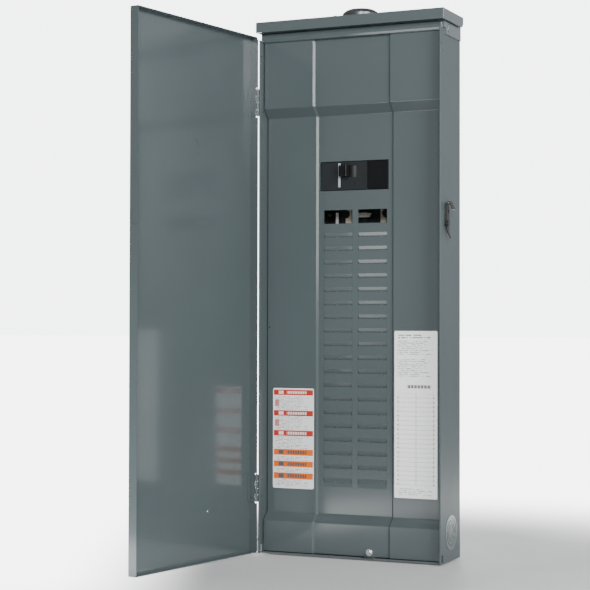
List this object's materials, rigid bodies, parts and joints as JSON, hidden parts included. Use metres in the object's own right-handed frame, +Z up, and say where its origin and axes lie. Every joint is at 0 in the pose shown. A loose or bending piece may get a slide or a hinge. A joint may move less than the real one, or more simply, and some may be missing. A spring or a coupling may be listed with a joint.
{
  "type": "residential load center",
  "caption": "Rainproof wall-mounted breaker panel cabinet with a hinged door, a hooded top, a main breaker and plug-on breaker spaces behind a dead front cover.",
  "frame": {"origin": "centre of the four wall-mounting holes, on the outer face of the back wall", "axes": "+Z up along the height, +Y out of the back face towards the wall, so the front faces -Y, +X to the right seen from the front"},
  "size_m": [0.4479, 0.473, 1.0209],
  "materials": {
    "enamel": "gloss",
    "cap_metal": "satin",
    "gasket": "matte",
    "zinc_screw": "satin",
    "zinc_sheet": "satin",
    "black_moulding": "satin",
    "ivory_moulding": "matte",
    "pale_strip": "gloss",
    "tinned_bar": "satin",
    "neutral_plating": "gloss",
    "ground_screw": "satin",
    "safety_print": "gloss",
    "directory_print": "gloss",
    "spring_steel": "satin"
  },
  "bodies": {
    "cabinet": {"enclosure_wrapper": "enamel", "bottom_end_wall": "enamel", "top_end_wall": "enamel", "rain_hood": "enamel", "side_knockouts": "enamel", "bottom_knockouts": "enamel", "back_knockouts": "enamel", "dead_front_cover": "enamel", "left_twist_outs": "enamel", "right_twist_outs": "enamel", "upper_cabinet_leaf": "enamel", "lower_cabinet_leaf": "enamel", "cabinet_leaf_rivets": "enamel", "hub_closing_cap": "cap_metal", "hub_gasket": "gasket", "hub_cap_screws": "zinc_screw", "cover_screw": "zinc_screw", "pan_screws": "zinc_screw", "neutral_bar_screws": "zinc_screw", "neutral_lug_screw": "zinc_screw", "line_lug_screws": "zinc_screw", "bonding_screw": "zinc_screw", "handle_pin": "zinc_screw", "mounting_pan": "zinc_sheet", "left_hook_rail": "zinc_sheet", "right_hook_rail": "zinc_sheet", "breaker_bracket": "zinc_sheet", "cover_bracket": "zinc_sheet", "bonding_strap": "zinc_sheet", "breaker_base": "black_moulding", "breaker_front": "black_moulding", "insulator_base": "black_moulding", "stab_guards": "ivory_moulding", "breaker_status_strip": "pale_strip", "bus_bar_a": "tinned_bar", "bus_bar_b": "tinned_bar", "neutral_cross_strap": "tinned_bar", "neutral_lug": "tinned_bar", "line_lugs": "tinned_bar", "ground_bar": "tinned_bar", "left_neutral_bar": "tinned_bar", "right_neutral_bar": "tinned_bar", "left_neutral_rail": "neutral_plating", "right_neutral_rail": "neutral_plating", "ground_bar_screws": "ground_screw", "safety_label": "safety_print", "directory_label": "directory_print", "latch_rivet": "spring_steel", "hinge_pins": "spring_steel"},
    "door": {"door_panel": "enamel", "upper_door_leaf": "enamel", "lower_door_leaf": "enamel", "door_leaf_rivets": "enamel"},
    "handle": {"breaker_handle": "black_moulding"},
    "latch": {"side_latch": "spring_steel"}
  },
  "joints": [
    {"name": "door_swing", "type": "hinge", "parent": "cabinet", "child": "door", "pos_m": [-0.1838, -0.109, 0], "axis": [0, 0, -1], "range_deg": [-98, 77]},
    {"name": "handle_toggle", "type": "hinge", "parent": "cabinet", "child": "handle", "pos_m": [-0.0105, -0.046, 0.21565], "axis": [0, 0, 1], "range_deg": [0, 34]},
    {"name": "latch_swing", "type": "hinge", "parent": "cabinet", "child": "latch", "pos_m": [0.185, -0.081, 0.1125], "axis": [-1, 0, 0], "range_deg": [0, 90]}
  ]
}
